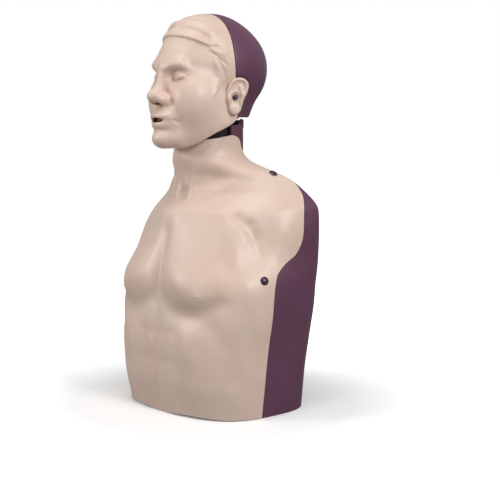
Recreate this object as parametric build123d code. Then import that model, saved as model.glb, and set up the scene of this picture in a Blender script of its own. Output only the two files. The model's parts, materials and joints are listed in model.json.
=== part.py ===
"""CPR training manikin: head on a nape hinge, sprung chest, skins over moulded shells.

Millimetres. X across the body (left of the manikin is +X), Y from the chest (-) to the back (+), Z up.
"""
import os
import numpy as np
from build123d import *

SHIFT = -7.22          # the body is drawn about its neck axis, then moved so that its box is centred

# ---------------------------------------------------------------- the body's form
# each table gives a half width, front depth, back depth or roundness against height
HALF_WIDTH = [(-30, 146.0), (0, 149.0), (60, 155.6), (120, 160.8), (180, 168.6), (225, 170.9), (262, 168.0),
              (300, 168.9), (335, 166.7), (356, 153.2), (371, 139.0), (383, 125.9), (393, 113.2), (403, 94.0),
              (415, 78.0), (430, 62.0), (450, 55.0), (500, 54.0)]
FRONT = [(-30, 104.0), (0, 106.5), (60, 116.0), (120, 118.3), (170, 116.4), (215, 113.0), (260, 103.1),
         (300, 93.8), (330, 87.4), (352, 61.1), (366, 53.7), (390, 53.8), (420, 60.0), (450, 60.0), (500, 60.0)]
BACK = [(-30, 122.0), (0, 124.8), (60, 126.6), (130, 136.7), (200, 142.2), (260, 136.4), (315, 129.7),
        (345, 122.8), (368, 105.4), (386, 88.2), (402, 77.5), (418, 64.0), (435, 58.0), (460, 56.0), (500, 56.0)]
MIDDLE = [(-30, 0.0), (200, 6.0), (260, 52.5), (300, 66.4), (340, 78.4), (380, 69.2), (415, 4.0), (430, -6.0),
          (500, -8.0)]
ROUND_FRONT = [(-30, 2.7), (0, 2.75), (60, 2.85), (120, 2.8), (230, 2.4), (300, 1.95), (345, 1.7), (380, 1.7),
               (405, 1.85), (430, 2.0), (500, 2.0)]
ROUND_BACK = [(-30, 3.2), (250, 3.2), (340, 2.8), (390, 2.3), (430, 2.0), (500, 2.0)]
# centre, spread and height of the soft swellings and hollows of the chest
SWELL = [((68, -105, 232), (48, 60, 46), 11), ((0, -112, 245), (13, 60, 70), -5),
         ((150, -28, 300), (16, 40, 42), -13), ((165, -15, 325), (30, 45, 50), 5),
         ((0, -72, 358), (11, 30, 11), -9), ((52, -72, 366), (42, 30, 8), 6),
         ((62, -45, 388), (26, 30, 12), -8), ((70, -90, 345), (40, 30, 14), -3),
         ((80, -100, 165), (45, 50, 22), -5), ((75, -105, 105), (34, 50, 40), 3),
         ((0, -112, 90), (14, 50, 90), -3)]
# where the skins end and the purple shells begin, seen from the side: (Z, Y)
BODY_SEAM = [(-40, -14), (0, -14), (80, -12), (147, -8), (206, -6), (232, 0), (250, 18), (266, 43), (288, 56),
             (336, 63), (362, 74), (378, 75), (396, 66), (412, 54), (427, 42), (441, 31), (480, 30), (520, 30)]
HEAD_SEAM = [(430, 8), (470, 7), (486, 5), (510, 2), (546, -3.4), (568, -5.8), (594, -7), (617, -5.8),
             (637, -6), (653, -7), (690, -8)]
# lower edge of the face, seen from the side: (Y, Z)
JAW_EDGE = [(425, -112), (431, -102), (434, -86), (438, -65), (446, -54), (454, -45), (473, -12), (482, 2), (486, 6)]

HINGE_Y, HINGE_Z = 41.0, 479.0
PRESS_Z = 215.0


SLOPES = {}


def curve(z, knots):
    """Value at z of the smooth curve through the knots; it never overshoots them."""
    if id(knots) not in SLOPES:
        k = np.array(knots, float)
        zs, vs = k[:, 0], k[:, 1]
        h = np.diff(zs)
        d = np.diff(vs) / h
        m = np.zeros(len(zs))
        m[0], m[-1] = d[0], d[-1]
        for i in range(1, len(zs) - 1):
            if d[i - 1] * d[i] > 0:
                w1, w2 = 2 * h[i] + h[i - 1], h[i] + 2 * h[i - 1]
                m[i] = (w1 + w2) / (w1 / d[i - 1] + w2 / d[i])
        SLOPES[id(knots)] = (zs, vs, h, m)
    zs, vs, h, m = SLOPES[id(knots)]
    z = np.clip(z, zs[0], zs[-1])
    i = np.clip(np.searchsorted(zs, z) - 1, 0, len(h) - 1)
    s = (z - zs[i]) / h[i]
    return (vs[i] * (2 * s**3 - 3 * s**2 + 1) + vs[i + 1] * (3 * s**2 - 2 * s**3)
            + h[i] * (m[i] * (s**3 - 2 * s**2 + s) + m[i + 1] * (s**3 - s**2)))


def torso_form(x, y, z):
    """Below zero inside the torso and neck."""
    ax = np.abs(x)
    mid = curve(z, MIDDLE)
    v = y - mid
    front = v < 0
    depth = np.where(front, curve(z, FRONT) + mid, curve(z, BACK) - mid)
    n = np.where(front, curve(z, ROUND_FRONT), curve(z, ROUND_BACK))
    r = np.hypot(x, v) + 1e-9
    f = r - 1 / ((ax / r / curve(z, HALF_WIDTH)) ** n + (np.abs(v) / r / depth) ** n) ** (1 / n)
    for c, s, h in SWELL:
        f = f - h * np.exp(-(((ax - c[0]) / s[0])**2 + ((y - c[1]) / s[1])**2 + ((z - c[2]) / s[2])**2))
    return f


def melt(a, b, k):
    """Union of two forms with a soft fillet of size k."""
    h = np.maximum(k - np.abs(a - b), 0) / k
    return np.minimum(a, b) - h * h * k / 4


def egg(x, y, z, c, r):
    px, py, pz = x - c[0], y - c[1], z - c[2]
    k0 = np.sqrt((px / r[0])**2 + (py / r[1])**2 + (pz / r[2])**2) + 1e-9
    k1 = np.sqrt((px / r[0]**2)**2 + (py / r[1]**2)**2 + (pz / r[2]**2)**2) + 1e-9
    return k0 * (k0 - 1) / k1


def bone(x, y, z, a, b, ra, rb):
    a, b = np.array(a, float), np.array(b, float)
    ab = b - a
    s = np.clip(((x - a[0]) * ab[0] + (y - a[1]) * ab[1] + (z - a[2]) * ab[2]) / (ab @ ab), 0, 1)
    return np.sqrt((x - a[0] - s * ab[0])**2 + (y - a[1] - s * ab[1])**2 + (z - a[2] - s * ab[2])**2) - (ra + (rb - ra) * s)


def head_core(x, y, z):
    """The head without the fine parts of the face: what its inner shells follow."""
    x = np.abs(x)
    d = egg(x, y, z, (0, 19, 567), (76, 87, 80))                            # cranium
    d = melt(d, egg(x, y, z, (0, 3, 576), (70, 75, 81)), 14)                # crown
    d = melt(d, egg(x, y, z, (0, -22, 566), (58, 78, 71)), 14)              # forehead
    d = melt(d, egg(x, y, z, (0, -27, 615), (55, 49, 36)), 14)              # front of the hair
    d = melt(d, egg(x, y, z, (0, -37, 512), (55, 57, 72)), 20)              # face
    d = melt(d, egg(x, y, z, (0, -52, 470), (46, 47, 32)), 16)              # jaw
    d = melt(d, bone(x, y, z, (55, 0, 505), (51, -6, 476), 11, 12), 26)     # angle of the jaw
    d = melt(d, bone(x, y, z, (51, -6, 476), (20, -80, 450), 12, 13), 22)   # line of the jaw
    d = melt(d, egg(x, y, z, (36, -58, 522), (26, 30, 26)), 26)             # cheekbone
    d = melt(d, egg(x, y, z, (32, -34, 496), (30, 44, 42)), 24)             # cheek
    d = melt(d, bone(x, y, z, (0, -93, 568), (27, -86, 569), 9, 9), 14)     # brow
    d = melt(d, bone(x, y, z, (0, -8, 380), (0, -8, 478), 50, 50), 10)      # neck
    d = melt(d, egg(x, y, z, (0, 22, 500), (52, 50, 45)), 20)               # nape
    d = melt(d, egg(x, y, z, (0, -86, 482), (28, 28, 25)), 12)              # round of the mouth
    d = melt(d, egg(x, y, z, (0, -96, 451), (20, 20, 16)), 12)              # chin
    return -melt(-d, egg(x, y, z, (30, -101, 550), (17, 18, 10)), 12)       # eye socket


def head_form(x, y, z):
    """Below zero inside the head; the neck is carried on down so that the jaw runs into it."""
    d = head_core(x, y, z)
    x = np.abs(x)
    d = melt(d, egg(x, y, z, (29, -72, 549), (15, 15, 12)), 6)              # closed eye
    d = melt(d, bone(x, y, z, (0, -93, 558), (0, -112, 521), 7, 9.5), 14)   # bridge of the nose
    d = melt(d, egg(x, y, z, (0, -113, 517), (12, 14, 9)), 12)              # tip of the nose
    d = melt(d, egg(x, y, z, (8, -102, 514), (10, 15, 9)), 12)              # wings of the nose
    d = melt(d, egg(x, y, z, (0, -104, 486), (22, 12, 5)), 7)               # upper lip
    return melt(d, egg(x, y, z, (0, -103, 475), (19, 12, 5.5)), 7)          # lower lip


def steepness(form, x, y, z, e=0.5):
    gx = (form(x + e, y, z) - form(x - e, y, z)) / (2 * e)
    gy = (form(x, y + e, z) - form(x, y - e, z)) / (2 * e)
    gz = (form(x, y, z + e) - form(x, y, z - e)) / (2 * e)
    return np.sqrt(gx * gx + gy * gy + gz * gz)


def points(form, z, angles, cy, depth, tilt=0.0):
    """Points of the form's section at height z, taken depth mm inside it. A tilted section rises by tilt per mm of Y."""
    s, c = np.sin(angles), np.cos(angles)
    lo, hi = np.full_like(angles, 1.0), np.full_like(angles, 240.0)
    for _ in range(34):
        mid = (lo + hi) / 2
        x, y = mid * s, cy + mid * c
        zz = z + tilt * y
        f = form(x, y, zz)
        if depth:
            f = f / np.maximum(steepness(form, x, y, zz), 0.3)
        inside = f < -depth
        lo, hi = np.where(inside, mid, lo), np.where(inside, hi, mid)
    y = cy + lo * c
    return np.stack([lo * s, y, z + tilt * y], -1)


def angle_at(form, z, cy, depth, y, tilt=0.0):
    """The angle from the back, on the +X side, at which the section passes the given Y."""
    a = np.linspace(0.02, np.pi - 0.02, 361)
    p = points(form, z, a, cy, depth, tilt)[:, 1]
    k = int(np.argmax(p < y))
    return float(a[k - 1] + (a[k] - a[k - 1]) * (p[k - 1] - y) / (p[k - 1] - p[k]))


def run(form, z, cy, depth, a0, a1, n, tilt=0.0, gather=0.0):
    """Smooth edge through n points of the section between two angles, evenly spread; gather packs them at the front."""
    a = np.linspace(a0, a1, 481)
    p = points(form, z, a, cy, depth, tilt)
    mid = (a[1:] + a[:-1]) / 2
    way = np.linalg.norm(np.diff(p, axis=0), axis=1) * (1 + gather * np.exp(-((np.abs(mid) % TAU - np.pi) / 0.5) ** 2))
    way = np.concatenate([[0.0], np.cumsum(way)])
    t = np.linspace(0, way[-1], n)
    q = np.stack([np.interp(t, way, p[:, k]) for k in range(3)], -1)
    return Edge.make_spline([Vector(*map(float, v)) for v in q], parameters=[float(v) for v in np.linspace(0, 1, n)])


def closed(edges):
    """Wire of the edges in turn, joined by straight lines."""
    out = []
    for k, e in enumerate(edges):
        nxt = edges[(k + 1) % len(edges)]
        out.append(e)
        if ((e @ 1) - (nxt @ 0)).length > 1e-6:
            out.append(Edge.make_line(e @ 1, nxt @ 0))
    return Wire(out)


def front_wall(outer, inner, d0, d1, levels, cy, y_edge, n, gather=0.0, tilts=None, ruled=False):
    """Shell wall round the front, from the edge y_edge(z) on one side to the other."""
    wires = []
    for k, z in enumerate(levels):
        t = tilts[k] if tilts else 0.0
        y = y_edge(z)
        for _ in range(30):                        # a tilted section meets the seam where it is higher or lower
            y = 0.5 * (y + y_edge(z + t * y))
        a, b = angle_at(outer, z, cy, d0, y, t), angle_at(inner, z, cy, d1, y, t)
        wires.append(closed([run(outer, z, cy, d0, a, TAU - a, n, t, gather), run(inner, z, cy, d1, TAU - b, b, n, t, gather)]))
    return Solid.make_loft(wires, ruled)


def back_wall(outer, inner, levels, cy, seam, gap, d_in, n, reach=None, d_lip=0.0):
    """Shell wall round the back; with reach a lip goes on from its inner side under the front wall."""
    wires = []
    for z in levels:
        y = float(curve(np.array(float(z)), seam)) + gap
        a = angle_at(outer, z, cy, 0.0, y)
        out = run(outer, z, cy, 0.0, -a, a, n)
        if reach is None:
            b = angle_at(inner, z, cy, d_in, y)
            wires.append(closed([out, run(inner, z, cy, d_in, b, -b, n)]))
            continue
        r, t = angle_at(inner, z, cy, d_lip, y), angle_at(inner, z, cy, d_lip, y - reach(z))
        b = angle_at(inner, z, cy, d_in, y - reach(z))
        wires.append(closed([out, run(inner, z, cy, d_lip, r, t, 7), run(inner, z, cy, d_in, b, -b, n + 8),
                             run(inner, z, cy, d_lip, -t, -r, 7)]))
    return Solid.make_loft(wires, True)


def half_lens(form, levels, cy, depth, edge, front, n, gather=0.0, ruled=False):
    """Solid half disc of the form, in front of or behind the edge Y at each level."""
    wires = []
    for z in levels:
        a = angle_at(form, z, cy, depth, edge(z))
        e = run(form, z, cy, depth, a, TAU - a, n, 0.0, gather) if front else run(form, z, cy, depth, -a, a, n)
        wires.append(Wire([e, Edge.make_line(e @ 1, e @ 0)]))
    return Solid.make_loft(wires, ruled)


def full(form, levels, cy, depth, n=44):
    """Solid lofted through the whole sections of the form."""
    ang = TAU * np.arange(n) / n
    par = [float(t) for t in np.linspace(0, 1, n + 1)]
    wires = [Wire([Edge.make_spline([Vector(*map(float, p)) for p in points(form, z, ang, cy, depth)],
                                    periodic=True, parameters=par)]) for z in levels]
    return Solid.make_loft(wires)


TAU = 2 * np.pi


def seam_y(seam, step):
    return lambda z: float(curve(np.array(float(z)), seam)) + step


def side_cut(line, far, reach=260.0):
    """Solid under or over a smooth line seen from the side, right across the body. Points are (Y, Z)."""
    pts = [Vector(-reach, y, z) for y, z in line]
    ends = [Vector(-reach, y, z) for y, z in far]
    rest = [Edge.make_line(p, q) for p, q in zip([pts[-1]] + ends, ends + [pts[0]])]
    return Solid.extrude(Face(Wire([Edge.make_spline(pts)] + rest)), Vector(2 * reach, 0, 0))


def box(x0, x1, y0, y1, z0, z1):
    return Pos((x0 + x1) / 2, (y0 + y1) / 2, (z0 + z1) / 2) * Box(x1 - x0, y1 - y0, z1 - z0)


def rod(x, z, y0, y1, r):
    """Cylinder along Y."""
    return Pos(x, (y0 + y1) / 2, z) * Rot(90, 0, 0) * Cylinder(r, y1 - y0)


def rod_x(y, z, x0, x1, r):
    return Pos((x0 + x1) / 2, y, z) * Rot(0, 90, 0) * Cylinder(r, x1 - x0)


def rod_z(x, y, z0, z1, r):
    return Pos(x, y, (z0 + z1) / 2) * Cylinder(r, z1 - z0)


def stud(form, at, radius, inner, rise):
    """Domed peg normal to the form at a point of its surface, from `inner` mm deep; also the hole for it."""
    p = np.array(at, float)
    e = 0.5
    g = np.array([float(form(*(p + e * d)) - form(*(p - e * d))) for d in np.eye(3)])
    g /= np.linalg.norm(g)
    pl = Plane(origin=Vector(*(p - g * inner)), z_dir=Vector(*g))
    dome = rise
    big = (radius**2 + dome**2) / (2 * dome)
    peg = Pos(0, 0, (inner + 0.3) / 2) * Cylinder(radius, inner + 0.3)
    cap = Pos(0, 0, inner + 0.3 + dome - big) * Sphere(big) & Pos(0, 0, inner + 0.3 + dome / 2) * Cylinder(radius, dome)
    hole = Pos(0, 0, inner / 2 + 2) * Cylinder(radius + 0.45, inner + 14)
    return pl * (peg + cap), pl * hole


def one(shape):
    """The shape's largest solid."""
    return max(shape.solids(), key=lambda s: s.volume)


def join(a, b, label=""):
    """Union of two solids that meet, kept only where it holds both."""
    u = one(a + b)
    if u.volume < a.volume * 0.999:
        print("   union left out:", label, a.volume, b.volume, u.volume, flush=True)
        return a
    return u


def carve(a, b, label=""):
    """Solid a without tool b, kept only where little is lost."""
    u = one(a - b)
    if not 0.7 * a.volume < u.volume <= a.volume * 1.01:
        print("   cut left out:", label, a.volume, u.volume, flush=True)
        return a
    return u


def both(shape):
    return [shape, shape.mirror(Plane.YZ)]


def coil(y0, y1, r, wire, turns):
    h = (y1 - y0) - 2 * wire
    path = Edge.make_helix(h / turns, h, r, center=(0, 0, 0), normal=(0, 0, 1))
    start = path @ 0
    prof = Plane(origin=start, z_dir=path % 0) * Circle(wire)
    c = sweep(prof, path)
    return Pos(0, y1 - wire, PRESS_Z) * Rot(90, 0, 0) * c


def step(label, shape):
    print("   %-14s %d solids %9.1f cm3" % (label, len(shape.solids()), shape.volume / 1000), flush=True)
    return shape


def body_parts(parts):
    """The torso with its neck, and the sprung plunger."""
    side = (164.8, -24.1, 227.5)          # where the pegs stand
    shoulder = (110.0, 44.9, 394.8)

    # ---- vinyl chest and neck
    print("chest skin", flush=True)
    lv = [0.6, 15, 30, 50, 70, 90, 110, 130, 150, 168, 185, 198, 212, 224, 236, 247, 258, 269, 280, 291, 302, 313, 324, 333, 342,
          349, 356, 362, 368, 374, 380, 386, 391, 397, 402, 407, 412, 417, 422, 427, 432, 437, 443, 449, 456]
    tilts = [float(np.interp(z, [372, 402, 422, 456], [0.0, 0.035, 0.10, 0.18])) for z in lv]
    skin = step("wall", front_wall(torso_form, torso_form, 0.0, 3.6, lv, 0.0, seam_y(BODY_SEAM, -0.45), 41, 0.0, tilts, True))
    nip, _ = stud(torso_form, (97.5, -105.6, 203.0), 3.4, 1.5, 1.6)
    for n in both(nip):
        skin = join(skin, n, "nipple")
    parts["chest_skin"] = [step("skin", skin)]

    # ---- purple back shell with floor, flange and bosses
    print("back shell", flush=True)
    lv = [0, 15, 30, 50, 70, 90, 110, 130, 150, 168, 185, 200, 212, 224, 236, 247, 258, 269, 280, 291, 302, 313, 324, 333, 342, 349,
          356, 362, 368, 374, 380, 386, 391, 397, 402, 407, 411, 415, 419]
    shell = step("wall", back_wall(torso_form, torso_form, lv, 0.0, BODY_SEAM, 0.45, 7.0, 41,
                                   lambda z: 38.0 if z < 330 else 38.0 - 0.2 * (z - 330), 4.5))
    lid = half_lens(torso_form, [419, 421.5, 424], 0.0, 0.0, seam_y(BODY_SEAM, 0.45), False, 41, 0.0, True)
    shell = step("lid", join(shell, lid, "lid"))
    shell = step("floor", join(shell, full(torso_form, [0, 4], 0.0, 4.9), "floor"))
    for x in (-85, 85):
        for z in (85, 300):
            wall = points(torso_form, z, np.array([np.arctan2(85.0, 110.0)]), 0.0, 3.0)[0, 1]
            shell = join(shell, one(rod(x, z, 104, wall, 8) - rod(x, z, 100, 115, 2.1)), "boss")
    shell = carve(shell, box(-33.2, 33.2, 10, 48.2, 412, 430), "seat")       # seat of the neck post
    parts["back_shell"] = [step("shell", shell)]

    # ---- studs
    for node, place in (("side_studs", side), ("shoulder_studs", shoulder)):
        parts[node] = both(one(stud(torso_form, place, 7.0, 0.0, 2.8)[0]))

    # ---- neck post, pin, column
    print("neck", flush=True)
    post = box(-33, 33, 20, 48, 372.2, 473)
    post = fillet(post.edges().filter_by(Axis.Z), 4)
    for x0, x1 in ((-33, -14), (14, 33)):
        post = post + rod_x(HINGE_Y, HINGE_Z, x0, x1, 6) + box(x0, x1, HINGE_Y - 6, HINGE_Y + 6, 468, HINGE_Z)
    post = post - rod_x(HINGE_Y, HINGE_Z, -40, 40, 2.52)
    post = post - box(-13.9, 13.9, 33.5, 50, 471.5, 480)
    parts["neck_post"] = [one(post)]
    pin = rod_x(HINGE_Y, HINGE_Z, -33.6, 33.6, 2.5)
    pin = pin + rod_x(HINGE_Y, HINGE_Z, 33.05, 35.0, 4.4) + rod_x(HINGE_Y, HINGE_Z, -35.0, -33.05, 4.4)
    parts["hinge_pin"] = [one(pin)]
    column = box(-22, 22, -29.5, 19.95, 372.2, 484.9)
    column = fillet(column.edges().filter_by(Axis.Z).sort_by(Axis.Y)[:2], 8)
    parts["neck_column"] = [one(column)]

    # ---- compression unit
    print("compression unit", flush=True)
    plate = box(-105, 105, 100, 104, 55, 335)
    plate = fillet(plate.edges().filter_by(Axis.Y), 14)
    plate = plate + rod(0, PRESS_Z, 94.5, 100.2, 14.6)
    screws, cyl_screws = [], []
    for x in (-85, 85):
        for z in (85, 300):
            plate = plate - rod(x, z, 98, 106, 2.1)
            screws.append(one(rod(x, z, 97.2, 100, 4.4) + rod(x, z, 99.9, 114, 2.05)))
    guide = rod(0, PRESS_Z, 10, 100, 29) + rod(0, PRESS_Z, 95, 100, 40) - rod(0, PRESS_Z, 5, 110, 25)
    for k in range(4):
        a = np.radians(45 + 90 * k)
        x, z = 34.5 * np.cos(a), PRESS_Z + 34.5 * np.sin(a)
        guide = guide - rod(x, z, 90, 104, 2.1)
        plate = plate - rod(x, z, 98, 106, 2.1)
        cyl_screws.append(one(rod(x, z, 92.6, 95, 3.9) + rod(x, z, 94.9, 103.5, 2.05)))
    arm = box(-36, 36, 70, 104, 326, 334) + box(-36, 36, 70, 76, 330, 372) + box(-36, 36, -29.5, 76, 366, 372)   # carries the neck
    parts["base_plate"] = [one(plate + arm)]
    parts["base_screws"] = screws
    parts["guide_cylinder"] = [one(guide)]
    parts["cylinder_screws"] = cyl_screws
    parts["stop_bumper"] = [one(rod(0, PRESS_Z, 88, 99.95, 24.6) - rod(0, PRESS_Z, 80, 105, 20.6))]
    click = box(28, 41, 12, 34, PRESS_Z - 9, PRESS_Z + 9) - rod(0, PRESS_Z, 5, 40, 29.05)
    click = click + box(38, 41, -6, 13, PRESS_Z - 5, PRESS_Z + 5)
    parts["depth_clicker"] = both(one(click))
    parts["compression_spring"] = [one(coil(-22, 100, 17, 2.0, 8))]

    print("plunger", flush=True)

    def plate_edge(z):
        u = min(1.0, abs(z - 212.5) / 107.5)
        return 95.0 * (1 - u ** 5) ** 0.2 * 0.45 + 95.0 * 0.55

    lv = [105, 109, 116, 130, 150, 175, 205, 235, 262, 285, 300, 310, 316, 320]
    parts["chest_plate"] = [step("plate", panel(torso_form, 6.4, 10.2, lv, plate_edge, 21))]
    tube = rod(0, PRESS_Z, -112, 30, 24.7) - rod(0, PRESS_Z, -145, 35, 21.5) + rod(0, PRESS_Z, -27, -22, 24.7)
    tube = tube + rod(0, PRESS_Z, -112, -88, 36)
    lv = [165, 180, 200, 220, 240, 255, 268]
    tube = one(tube & panel(torso_form, 10.55, 240.0, lv, lambda z: 60.0, 15, back_y=60.0))
    plate_screws = []
    for k in range(4):
        a = np.radians(45 + 90 * k)
        x, z = 30.5 * np.cos(a), PRESS_Z + 30.5 * np.sin(a)
        plate_screws.append(one(rod(x, z, -88, -85.4, 3.6) + rod(x, z, -95, -87.9, 1.85)))
        tube = tube - rod(x, z, -96, -80, 1.9)
    parts["plunger_tube"] = [step("tube", one(tube))]
    parts["plate_screws"] = plate_screws

    # ---- breath path
    print("airway", flush=True)
    lv = [140, 144, 152, 166, 186, 210, 235, 260, 284, 300, 312, 320, 326]

    def bag_edge(z):
        u = min(1.0, abs(z - 233.0) / 93.0)
        return 62.0 * (0.5 + 0.5 * (1 - u ** 4) ** 0.25)

    parts["lung_bag"] = [step("bag", panel(torso_form, 4.5, 5.8, lv, bag_edge, 17))]
    way = Edge.make_spline([Vector(0, -72.5, 324), Vector(0, -53, 338.5), Vector(0, -39.5, 354), Vector(0, -36.4, 372),
                            Vector(0, -37.2, 400),
                            Vector(0, -43, 430), Vector(0, -50, 446), Vector(0, -60, 458), Vector(0, -66, 467.8)],
                           tangents=[Vector(0, 0.72, 0.7), Vector(0, 0, 1)])
    disc = Plane(origin=way @ 0, z_dir=way % 0) * Circle(5.4)
    bore = Plane(origin=way @ 0, z_dir=way % 0) * Circle(4.0)
    parts["airway_hose"] = [one(sweep(disc, way) - sweep(bore, way))]


def panel(form, d0, d1, levels, half, n, back_y=None):
    """Curved panel behind the chest between two depths, reaching half(z) to each side; or a block back to back_y."""
    wires = []
    for z in levels:
        w = half(z)
        pair = []
        for depth in ((d0, d1) if back_y is None else (d0,)):
            t = np.linspace(np.pi / 2 + 0.1, np.pi - 0.001, 241)
            p = points(form, z, t, 0.0, depth)[:, 0]
            k = int(np.argmax(p < w))
            pair.append(float(t[k - 1] + (t[k] - t[k - 1]) * (p[k - 1] - w) / (p[k - 1] - p[k])))
        e = run(form, z, 0.0, d0, pair[0], TAU - pair[0], n)
        if back_y is None:
            wires.append(closed([e, run(form, z, 0.0, d1, TAU - pair[1], pair[1], n)]))
        else:
            p, q = e @ 0, e @ 1
            r, t = Vector(q.X, back_y, q.Z), Vector(p.X, back_y, p.Z)
            wires.append(Wire([e, Edge.make_line(q, r), Edge.make_line(r, t), Edge.make_line(t, p)]))
    return Solid.make_loft(wires)


def head_parts(parts):
    """The head with its skin, shell, ears, mouth and the knuckle of the nape hinge."""
    print("head", flush=True)
    cy = -12.0
    lv = [434, 437, 440, 444, 448, 452, 456, 460, 465, 470, 474, 478, 482, 486, 490, 494, 498, 502, 506, 510, 514, 518, 522, 526,
          530, 535, 540, 545, 550, 555, 560, 566, 572, 580, 588, 596, 604, 612, 620, 628, 636, 642, 648]
    jaw, seam = seam_y(JAW_EDGE, -0.2), seam_y(HEAD_SEAM, -0.4)
    edge = lambda z: jaw(z) if z < 485.6 else seam(z)
    face = step("wall", front_wall(head_form, head_core, 0.0, 3.5, lv, cy, edge, 75, 1.6, None, True))
    crown = half_lens(head_form, [648, 650, 652, 653.8, 655.2, 656.2], cy, 0.0, edge, True, 75, 1.6, True)
    face = step("crown", join(face, crown, "crown"))
    mouth = Pos(0, -108, 480.6) * Box(27, 60, 5.6)
    mouth = fillet(mouth.edges().filter_by(Axis.Y), 2.6)
    face = step("mouth", carve(face, mouth, "mouth"))
    # ear: outline drawn flat, flared out from the head
    shape = [(-15, -14), (-10, -26), (0, -29), (7, -22), (10, -8), (17, 6), (19, 20), (10, 29), (-4, 28), (-14, 18),
             (-17, 2)]
    flare = np.radians(27)
    lx = Vector(float(np.sin(flare)), float(np.cos(flare)), 0)
    lz = Vector(float(np.cos(flare)), -float(np.sin(flare)), 0)
    ear_plane = Plane(origin=Vector(75.5, -5, 520), x_dir=lx, z_dir=lz)
    flat = Solid.extrude(Face(Wire([Edge.make_spline([Vector(y, z, 0) for y, z in shape], periodic=True)])), Vector(0, 0, 6.0))
    inside = Solid.extrude(Face(Wire([Edge.make_spline([Vector(y * 0.76 - 0.5, z * 0.8 + 1.0, 3.2) for y, z in shape], periodic=True)])),
                           Vector(0, 0, 6.0))
    root = Solid.extrude(Face(Wire([Edge.make_spline([Vector(y * 0.8 - 1, z * 0.86, -17) for y, z in shape], periodic=True)])),
                         Vector(0, 0, 19))
    root = (ear_plane * root) & box(71.6, 130, -40, -0.8, 480, 560)
    ear = one((ear_plane * (flat - inside)) + root)
    step("ear", ear)
    for e in both(ear):
        face = join(face, e, "ear")
    parts["face_skin"] = [step("face", face)]

    print("skull", flush=True)
    lv = [497, 501, 505, 509, 514, 518, 523, 527, 532, 536, 541, 545, 550, 555, 560, 566, 572, 579, 586, 594, 602, 609, 616, 622,
          628, 632, 636]
    skull = front_wall(head_core, head_core, 4.0, 7.0, lv, cy, seam_y(HEAD_SEAM, -16.5), 41, 0.3, None, True)
    parts["skull_front"] = [step("skull", skull)]

    lv = [485.6, 490, 494, 498, 502, 506, 510, 514, 518, 522, 526, 530, 535, 540, 545, 550, 555, 560, 566, 572, 580, 588, 596, 604,
          612, 620, 628, 636, 642, 646]
    shell = step("wall", back_wall(head_form, head_core, lv, cy, HEAD_SEAM, 0.5, 7.4, 41, lambda z: 14.0, 4.9))
    crown = half_lens(head_form, [646, 648, 650, 652, 653.8, 655.2, 656.2], cy, 0.0, seam_y(HEAD_SEAM, 0.5), False, 41, 0.0, True)
    shell = step("crown", join(shell, crown, "crown"))
    floor = full(head_core, [485.6, 489.7], cy, 5.3, 40) & box(-120, 120, -34, 200, 480, 495)
    shell = step("floor", join(shell, floor, "floor"))
    for s in (-1, 1):
        shell = carve(shell, rod_x(4, 523, min(73 * s, 110 * s), max(73 * s, 110 * s), 30), "ear recess")
    parts["head_shell"] = [step("shell", shell)]

    spot = ear_plane * (Pos(-3, -2, 1.5) * Cylinder(4.3, 4.5) + Pos(-3, -2, 3.0) * Sphere(4.3))
    spot = one(spot & (ear_plane * box(-40, 40, -40, 40, 3.22, 12)))
    parts["ear_studs"] = both(spot)

    print("bracket, duct", flush=True)
    knuckle = rod_x(HINGE_Y, HINGE_Z, -13.4, 13.4, 6) + box(-13.4, 13.4, HINGE_Y - 5.6, HINGE_Y + 5.6, HINGE_Z, 485.55)
    parts["tilt_bracket"] = [one(knuckle - rod_x(HINGE_Y, HINGE_Z, -20, 20, 2.56))]
    duct = box(-14.5, 14.5, -103.5, -62, 474.6, 487.2) - box(-11.5, 11.5, -130, -66, 477.4, 484.0)
    duct = duct + rod_z(0, -66, 468, 476, 7.6) - rod_z(0, -66, 460, 480, 5.6)
    parts["mouth_duct"] = [one(duct)]
    parts["skull_screws"] = [one(rod_z(x, y, 483.2, 485.6, 3.6)) for x in (-42, 42) for y in (-6, 24)]


def write(parts):
    os.makedirs("parts", exist_ok=True)
    for name, solids in parts.items():
        moved = [Pos(0, SHIFT, 0) * Solid(s.wrapped) for s in solids]
        shape = moved[0] if len(moved) == 1 else Compound(children=moved)
        export_step(shape, "parts/%s.step" % name)
        b = shape.bounding_box()
        print("%-20s %2d %9.1f  x %.1f %.1f  y %.1f %.1f  z %.1f %.1f" % (
            name, len(moved), shape.volume / 1000, b.min.X, b.max.X, b.min.Y, b.max.Y, b.min.Z, b.max.Z), flush=True)


made = {}
body_parts(made)
head_parts(made)
write(made)
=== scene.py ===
"""A CPR training manikin: head and torso in pale vinyl over purple moulded shells.

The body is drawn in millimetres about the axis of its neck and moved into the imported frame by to_row.
X runs to the manikin's left, Y from the chest to the back, Z up.
"""
import json
import logging
from dataclasses import dataclass, field
from enum import Enum
from typing import Callable

import bpy
import numpy as np
from mathutils import Matrix, Vector


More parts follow.
